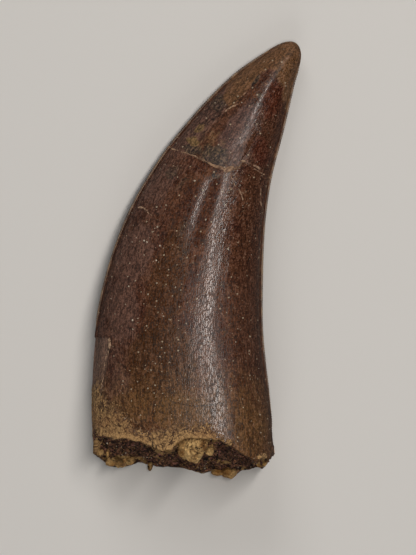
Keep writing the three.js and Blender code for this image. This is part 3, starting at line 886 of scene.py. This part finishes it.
grain = add(tree, "Math", {0: clouds, 1: 0.6, 2: grain}, operation="MULTIPLY_ADD")["Value"]
amount = add(tree, "MapRange", {"Value": grain, "From Min": 0.9, "From Max": 1.25})["Result"]
strewn = add(tree, "Math", {0: dust_tone, 1: 0.94}, operation="GREATER_THAN")["Value"]
amount = add(tree, "Math", {0: amount, 1: strewn}, operation="MAXIMUM")["Value"]
sand_colour = add(
    tree, "Mix", {0: tone["Green"], 6: linear("#7c5c34"), 7: linear("#ad8a58")}, data_type="RGBA"
)[2]
colour = add(tree, "Mix", {0: amount, 6: colour, 7: sand_colour}, data_type="RGBA")[2]
normal = add(tree, "Bump", {"Height": crumb_cells["Distance"], "Distance": 0.3 * MM}, invert=True)["Normal"]
surface = add(tree, "BsdfPrincipled", {"Base Color": colour, "Roughness": 0.75, "Normal": normal})["BSDF"]
add(tree, "OutputMaterial", {"Surface": surface})
broken_base.data.materials.append(dentine)

# ------------------------------------------------------------------ fracture crumbs
# Crumbs of dentine, a quarter to two thirds of a millimetre wide, that cling to the fracture where it has
# crumbled. Each is sunk to its middle.


def ball_points(tilt, turn):
    """Points on a ball of radius 1, at heights tilt (a column) and angles turn (a row)."""
    ring = np.sqrt(1 - tilt**2)
    return np.stack([ring * np.cos(turn), ring * np.sin(turn), tilt + 0 * turn], -1)


def grains(centres, sizes, seed):
    """Small uneven balls of these radii, each of four rings of eight points."""
    rng = np.random.default_rng(seed)
    ball = ball_points(np.array([-0.8, -0.3, 0.3, 0.8])[:, None], np.arange(8) / 8 * 2 * np.pi)
    uneven = rng.uniform(0.8, 1.15, (len(centres), 4, 8, 1))
    return centres[:, None, None] + ball * uneven * sizes[:, None, None, None]


CRUMBS = 800
rng = np.random.default_rng(85)
fracture = face[6:-6, 4:-4].reshape(-1, 3)
centres = fracture[rng.integers(len(fracture), size=CRUMBS)]
crumbs = loft("fracture_crumbs", grains(centres, rng.uniform(0.1, 0.34, CRUMBS), 86))
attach(crumbs, "root")
crumbs.data.materials.append(dentine)

# ------------------------------------------------------------------ sandstone lumps
# Lumps of sandstone and porous bone stuck hard to the broken base. Each is a blunt block of a few flat
# faces, roughened by noise.

LUMP_FACES = 24


def block(centre, half, faces, reach, seed, rows=50, columns=90):
    """A blunt block of these half sizes. Its flat faces look along these directions, at these reaches from
    the middle: the radius is sum(pressed^14)^(-1/14), where pressed is how far a direction of length 1 goes
    along each face's, over its reach. Noise roughens it by a tenth of its least half size."""
    ways = ball_points((np.linspace(-1, 1, rows) * 0.97)[:, None], np.arange(columns) / columns * 2 * np.pi)
    pressed = np.maximum(0, ways @ unit(faces).T) / reach
    radius = (pressed**14).sum(-1) ** (-1 / 14)
    points = ways * radius[..., None] * half
    rough = 0.1 * min(half) * layered(points, 0.7 * min(half), seed, 4)
    return centre + points + unit(points) * rough[..., None]


def rock(centre, half, seed):
    """A block with its faces spread by the golden angle of 2.4 radians, and shaken."""
    rng = np.random.default_rng(seed)
    level = np.linspace(-0.9, 1, LUMP_FACES)
    faces = ball_points(level, np.arange(LUMP_FACES) * 2.4 + rng.uniform(0, 6))
    faces += 0.3 * rng.normal(size=faces.shape) * (level < 1)[:, None]
    return block(centre, half, faces, rng.uniform(0.78, 1, LUMP_FACES), seed)


# Each lump's middle and half sizes.
LUMPS = [
    ((-20.2, -40.4, 7.9), (0.95, 0.85, 1.4)),
    ((-17.9, -42.4, 5.4), (1.35, 1.15, 1.9)),
    ((-16.3, -42.9, 4.6), (0.85, 0.75, 1.2)),
    ((-18.6, -40.7, 7.2), (0.35, 1.1, 0.9)),
    ((-15.1, -42.2, 4.9), (0.45, 0.9, 0.8)),
    ((-14.0, -42.2, 4.5), (1.2, 0.95, 1.2)),
    ((-9.7, -43.4, 1.6), (0.6, 1.1, 0.9)),
    ((2.95, -39.9, 15.0), (1.0, 1.25, 1.3)),
    ((3.4, -38.6, 16.4), (0.35, 0.7, 0.6)),
    ((7.0, -44.7, 2.9), (2.0, 1.3, 2.4)),
    ((4.6, -44.8, 2.4), (1.5, 0.75, 1.6)),
    ((13.1, -42.6, 7.6), (0.8, 0.95, 1.6)),
    ((14.4, -42.6, 7.4), (0.65, 0.75, 1.4)),
    ((14.1, -41.5, 8.6), (0.4, 0.4, 0.6)),
    ((12.5, -42.2, 8.9), (0.28, 0.55, 0.4)),
]
rocks = np.stack([rock(*lump, 90 + i) for i, lump in enumerate(LUMPS)])
# The lumps' mark darkens them in random patches of noise.
lumps = loft("sandstone_lumps", rocks, {"patch_and_pore_shade": 0.7 * smooth(0.1, 0.9, layered(rocks, 1.2, 99, 3))})
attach(lumps, "root")

# Sandstone: fine quartz sand bound by clay and iron. The eye sees separate tan, honey and brown grains and
# rusty patches, with darker random patches and painted shade in pores. Grains are 0.38 mm wide, clouds 2.4
# mm and rust patches 6 mm.
sandstone, tree = new_material("sandstone_matrix_raw")
place = add(tree, "TexCoord")["Object"]
cells = add(tree, "TexVoronoi", {"Vector": place, "Scale": 2.6 / MM})
tone = add(tree, "SeparateColor", {"Color": cells["Color"]})["Red"]
clouds = add(
    tree, "TexNoise", {"Vector": place, "Scale": 0.42 / MM, "Detail": 4, "Roughness": 0.65}
)["Fac"]
cloudy = add(tree, "MapRange", {"Value": clouds, "From Min": 0.36, "From Max": 0.62})["Result"]
tan = add(tree, "Mix", {0: cloudy, 6: linear("#734f27"), 7: linear("#dcb67a")}, data_type="RGBA")[2]
iron = add(tree, "TexNoise", {"Vector": place, "Scale": 0.16 / MM, "Detail": 3})["Fac"]
rusty = add(tree, "MapRange", {"Value": iron, "From Min": 0.45, "From Max": 0.62, "To Max": 0.75})["Result"]
tan = add(tree, "Mix", {0: rusty, 6: tan, 7: linear("#966424")}, data_type="RGBA")[2]
shade = add(tree, "MapRange", {"Value": tone, "To Min": 0.6, "To Max": 1.3})["Result"]
# Darker where the mark is set: random patches on the lumps, and painted shade in the porous lump's pores.
patch_and_pore_shade = add(tree, "Attribute", attribute_name="patch_and_pore_shade")["Fac"]
shade = add(tree, "Math", {0: patch_and_pore_shade, 1: -0.9, 2: shade}, operation="MULTIPLY_ADD")["Value"]
shade = add(tree, "Math", {0: shade, 1: 0.1}, operation="MAXIMUM")["Value"]
colour = add(tree, "VectorMath", {0: tan, "Scale": shade}, operation="SCALE")["Vector"]
normal = add(
    tree, "Bump", {"Height": cells["Distance"], "Distance": 0.1 * MM, "Strength": 0.7}, invert=True
)["Normal"]
surface = add(tree, "BsdfPrincipled", {"Base Color": colour, "Roughness": 0.9, "Normal": normal})["BSDF"]
add(tree, "OutputMaterial", {"Surface": surface})
lumps.data.materials.append(sandstone)

# ------------------------------------------------------------------ porous lump
# The largest lump, wedged under the cheek rim: sandstone over spongy bone, a blunt shield that narrows
# downwards. Its top is drilled with fine pores.

# The middle of the drilled part (x, y), its radius, and the height above which it is drilled.
PORES_AT = (0.3, -38.7)
PORES_REACH = 2.2
PORES_ABOVE = 18.5
# Which way each face of the lump looks, and how far it is from the middle.
SHIELD = np.array([
    (-1, 0, 0, 3.0), (1, 0.1, 0, 3.1), (0, 1, 0, 3.0), (-0.42, -0.91, 0, 2.65), (0.84, -0.54, 0, 2.45),
    (0, -1, 0, 3.2), (0.15, -0.15, 1, 3.0), (-0.62, 0.1, 0.78, 2.55), (0, -0.7, 0.7, 2.85), (0, 0, -1, 3.6),
    (0, -0.7, -0.7, 3.2), (-0.55, -0.25, -0.8, 2.7), (0.6, -0.2, -0.75, 2.6),
])
shield = block(
    (-0.65, -39.4, 17.5), (1, 1, 1), SHIELD[:, :3], SHIELD[:, 3], seed=90, rows=150, columns=260
)
shield += unit(shield - shield.mean((0, 1))) * (0.2 * layered(shield, 1.1, 91, 3))[..., None]
drilled = np.hypot(shield[..., 0] - PORES_AT[0], shield[..., 1] - PORES_AT[1]) < PORES_REACH
pores = pitted(shield, count=420, sizes=(0.18, 0.34), seed=92)
pores *= np.where(drilled & (shield[..., 2] > PORES_ABOVE), 1, 0.25)
shield -= unit(shield - shield.mean((0, 1))) * (3 * pores)[..., None]
# The pores' depth marks them for painted shade.
porous_lump = loft("porous_lump", shield, {"patch_and_pore_shade": smooth(0.02, 0.1, pores)})
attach(porous_lump, "root")
porous_lump.data.materials.append(sandstone)

# ------------------------------------------------------------------ sand specks
# Single pale grains of sand pressed into pits of the enamel. The plainest ones are listed one by one, and
# the rest are scattered in crowds, thinly near the tip. More cling to the fracture, four of them in a small
# hook.

SPECKS = [
    (-10.9, -9.2), (-7.8, -10.9), (-6.7, -11.8), (-13.2, -12.6), (-13.2, -14.5), (-12.2, -12.2),
    (-3.6, -14.3), (-4.1, -16.2), (-5.6, -17.8), (-6.7, -19.5), (-7.6, -20.2), (-8.4, -21.6),
    (-5.5, -21.4), (-9.4, -23.0), (-12.2, -25.4), (-10.1, -26.9), (-8.8, -27.9), (-8.4, -28.6),
    (-6.3, 11.5), (-8.2, 11.1), (-8.2, 6.9), (-9.1, 5.9), (-7.8, 5.2), (-2.3, 7.1), (-10.9, 4.0),
    (-10.2, 3.8), (-11.8, 3.8), (-7.6, 2.9), (-10.9, 1.1), (-8.4, 0.0), (-0.5, -0.6), (-8.2, -4.9),
    (-4.4, -5.7), (-3.1, -6.3), (-5.7, -6.5), (-10.1, -7.1), (-14.1, -5.5), (-14.3, -3.5), (2.1, 8.4),
    (1.5, 3.4), (6.8, 2.3), (1.4, 14.7), (-0.3, 16.6), (18.9, 36.6), (16.8, 30.4),
]
HOOK = [(12.25, -41.75, 9.3), (12.15, -42.15, 9.1), (12.35, -42.55, 8.9), (12.7, -42.65, 8.8)]
SCATTERED = 1000
CLINGING = 90

rng = np.random.default_rng(120)
by_hand = [upper[np.hypot(*(skins[upper, :2] - speck).T).argmin()] for speck in SPECKS]
scattered = rng.integers(len(skins), size=SCATTERED)
crowded = noise(skins[scattered], 9, 122) > -0.15
below_tip = skins[scattered, 1] < 18
scattered = scattered[crowded & (below_tip | (rng.random(SCATTERED) < 0.3))]
chosen = np.concatenate([by_hand, scattered])
sizes = np.concatenate([rng.uniform(0.14, 0.26, len(by_hand)), 0.06 + 0.1 * rng.random(len(scattered)) ** 2])
clinging = np.concatenate([HOOK, fracture[rng.integers(len(fracture), size=CLINGING)]])
sizes = np.concatenate([sizes, [0.24] * len(HOOK), rng.uniform(0.07, 0.2, CLINGING)])
centres = np.concatenate([skins[chosen] - 0.05 * facing[chosen], clinging])
specks = loft("sand_specks", grains(centres, sizes, 121))
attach(specks, "root")

# Quartz grains with some clay on them: the eye sees pale cream dots, a few of them dirty.
specks.data.materials.append(two_toned(
    "quartz_grain_dusty", cells=0.9, pattern={}, span=(0.35, 0.6),
    low="#c4b7a4", high="#86725c", finish={"Roughness": 0.6},
))

# ------------------------------------------------------------------ floor, lights and camera
# A plain pale table, and soft studio light: a long strip light overhead along the tooth, which the glossy
# enamel mirrors, and a broad light at each end of the table. The camera looks straight down. Sizes here are
# in metres.

bpy.ops.mesh.primitive_plane_add(size=6, location=(0, 0, 0))
floor = bpy.context.object
floor.name = "floor"
pale, tree = new_material("pale_table")
surface = add(tree, "BsdfPrincipled", {"Base Color": (0.75, 0.74, 0.72, 1), "Roughness": 0.9})["BSDF"]
add(tree, "OutputMaterial", {"Surface": surface})
floor.data.materials.append(pale)
floor.visible_glossy = False


def area_light(name, place, along, size, watts, colour):
    """A rectangular light aimed at the tooth from a place, its length lying along a direction, unseen by
    the camera."""
    lamp = bpy.data.lights.new(name, "AREA")
    lamp.shape = "RECTANGLE"
    lamp.size, lamp.size_y = size
    lamp.energy = watts
    lamp.color = colour
    light = bpy.data.objects.new(name, lamp)
    back = unit(np.array(place))
    side = unit(np.cross(along, back))
    light.matrix_world = Matrix(np.stack([side, np.cross(back, side), back], 1)).to_4x4()
    light.location = place
    light.visible_camera = False
    bpy.context.scene.collection.objects.link(light)
    return light


area_light("strip", (0.19, 0.16, 0.8), (0.57, 0.82, 0), (0.1, 0.75), 4.2, (1, 0.95, 0.9))
area_light("key", (-0.3, 1.3, 0.9), (0, 1, 0), (0.8, 0.8), 5.6, (1, 0.98, 0.95)).visible_glossy = False
area_light("fill", (-0.1, -1.3, 0.8), (0, 1, 0), (0.8, 0.8), 3, (1, 0.98, 0.95)).visible_glossy = False

# The camera sees a light grey room, which lights the tooth only faintly.
world = bpy.data.worlds.new("room")
bpy.context.scene.world = world
world.use_nodes = True
tree = world.node_tree
tree.nodes.clear()
seen = add(tree, "LightPath")["Is Camera Ray"]
room = add(tree, "Background", {"Color": (1, 1, 1, 1), "Strength": 0.06})["Background"]
backdrop = add(tree, "Background", {"Color": (0.8, 0.8, 0.8, 1), "Strength": 1.0})["Background"]
both = add(tree, "MixShader", {0: seen, 1: room, 2: backdrop})["Shader"]
add(tree, "OutputWorld", {"Surface": both})
bpy.context.scene.view_settings.view_transform = "Standard"

# A long lens 2 m above, so that there is hardly any perspective.
camera = bpy.data.objects.new("camera", bpy.data.cameras.new("camera"))
camera.data.lens = 615
camera.data.clip_end = 20
camera.location = (0.00252, -0.00368, 2.0)
bpy.context.scene.collection.objects.link(camera)
bpy.context.scene.camera = camera
